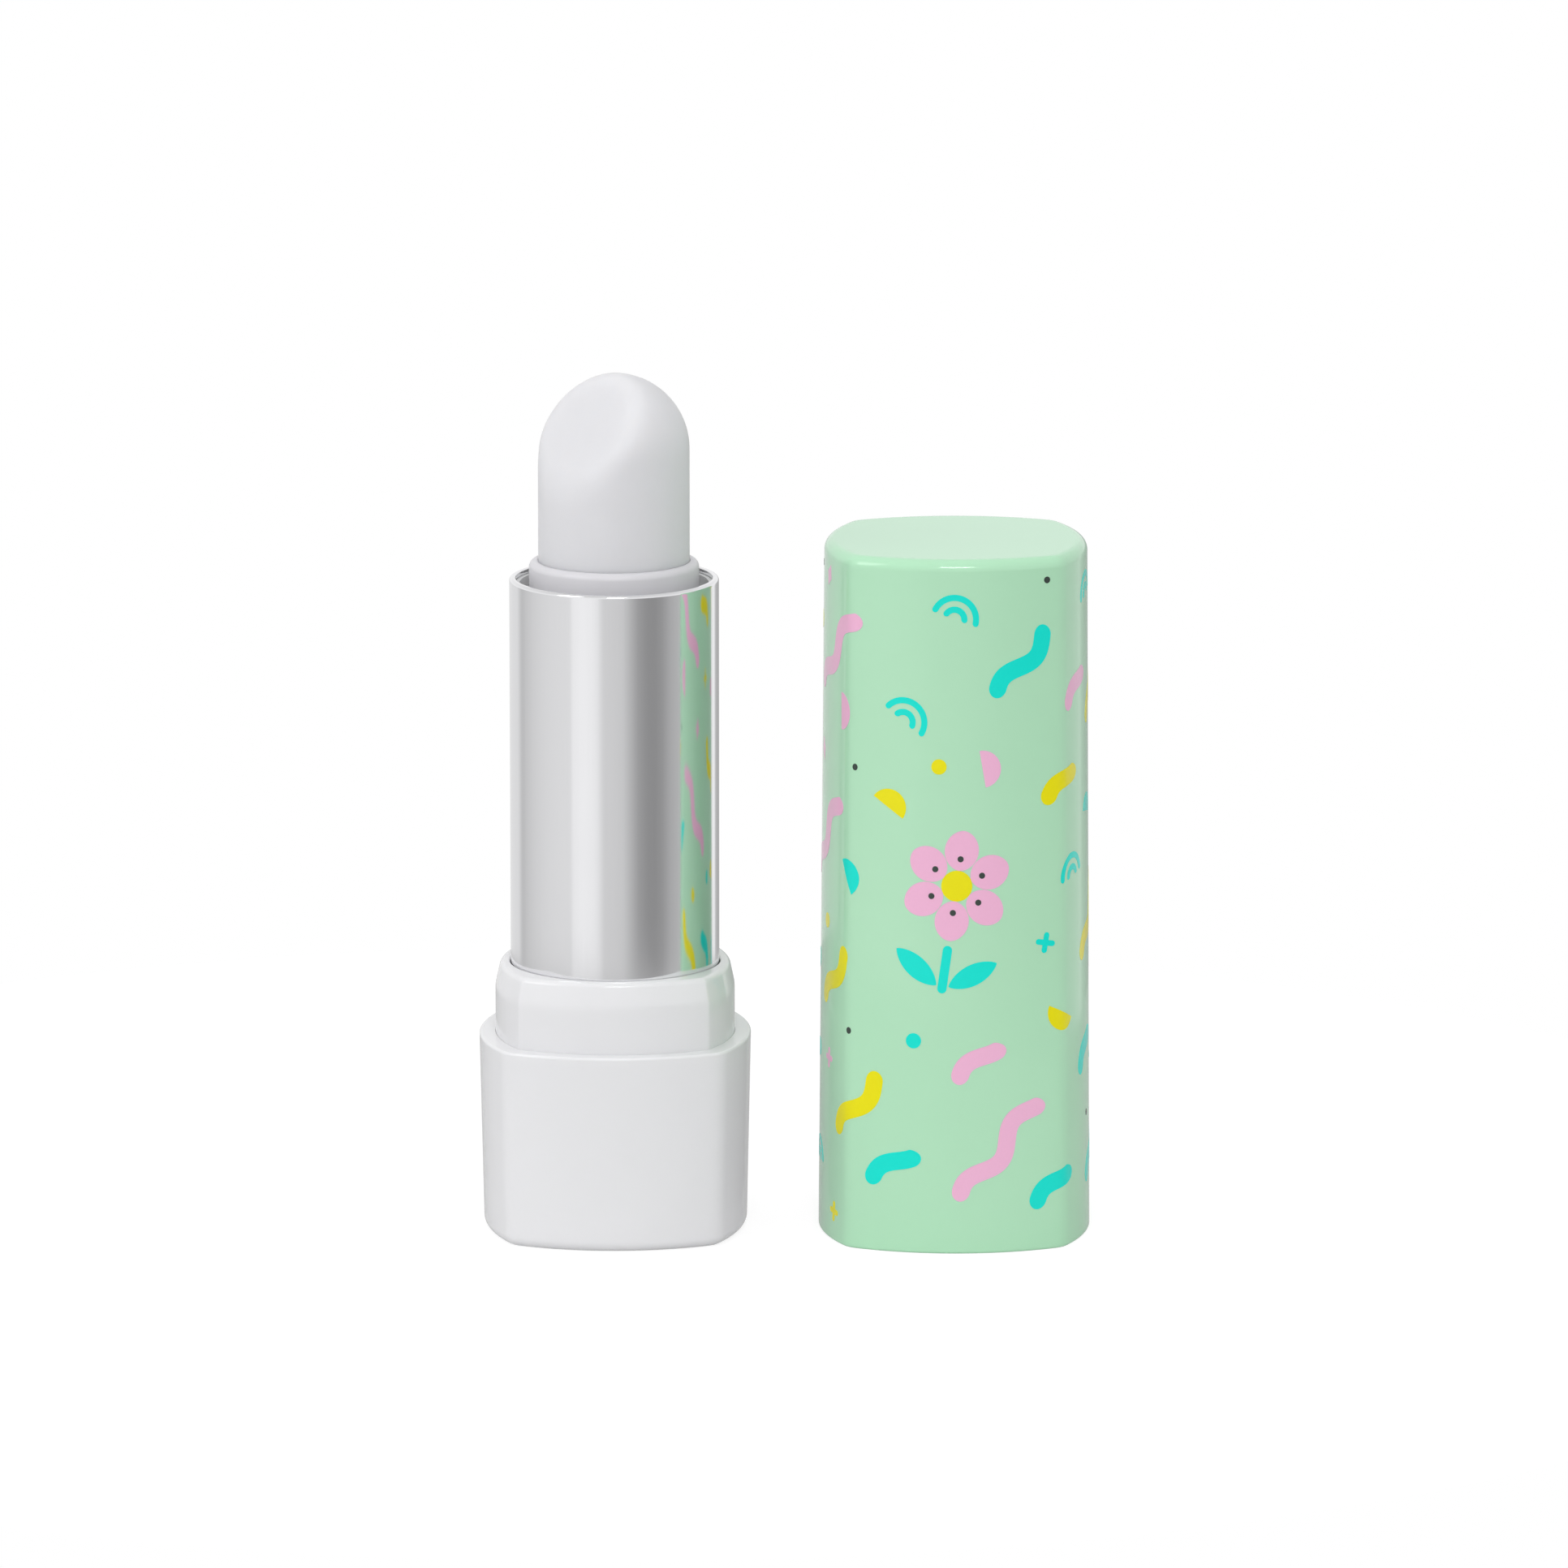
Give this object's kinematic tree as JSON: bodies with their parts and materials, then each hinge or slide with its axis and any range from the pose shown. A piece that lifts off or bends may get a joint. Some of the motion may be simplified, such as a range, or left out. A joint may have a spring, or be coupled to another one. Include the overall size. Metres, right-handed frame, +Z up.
{
  "type": "lip balm stick",
  "caption": "Twist-up lip balm stick with a round-tipped balm in a polished tube on a rounded-square base, and its pull-off cap beside it.",
  "frame": {"origin": "middle of the base's underside", "axes": "+Z up along the stick, +X from the stick to its cap, -Y to the front"},
  "size_m": [0.0491, 0.0218, 0.0694],
  "materials": {
    "base_white": "glossy moulded white",
    "collar_white": "glossy moulded white",
    "guide_natural": "natural moulded",
    "ring_rubber": "soft translucent",
    "sleeve_natural": "natural moulded",
    "tube_metal": "polished and anodised",
    "carrier_white": "satin moulded",
    "balm_wax": "waxy cast",
    "cap_mint": "glossy moulded mint with a print"
  },
  "bodies": {
    "base": {"base_shell": "base_white", "collar": "collar_white", "guide_tube": "guide_natural", "friction_ring": "ring_rubber"},
    "tube": {"tube_shell": "tube_metal", "spiral_sleeve": "sleeve_natural"},
    "carrier": {"carrier_cup": "carrier_white", "balm": "balm_wax"},
    "cap": {"cap_shell": "cap_mint"}
  },
  "joints": [
    {"name": "tube_twist", "type": "hinge", "parent": "base", "child": "tube", "pos_m": [0, 0, 0.02175], "axis": [0, 0, 1], "range_deg": [0, 450]},
    {"name": "balm_rise", "type": "slide", "parent": "base", "child": "carrier", "axis": [0, 0, 1], "range_m": [-0.0175, 0]},
    {"name": "cap_lift", "type": "slide", "parent": "base", "child": "cap", "axis": [0, 0, 1], "range_m": [0, 0.0715]}
  ],
  "couplings": [
    {"joint": "balm_rise", "follows": "tube_twist", "m_per_rad": -0.0022282}
  ]
}
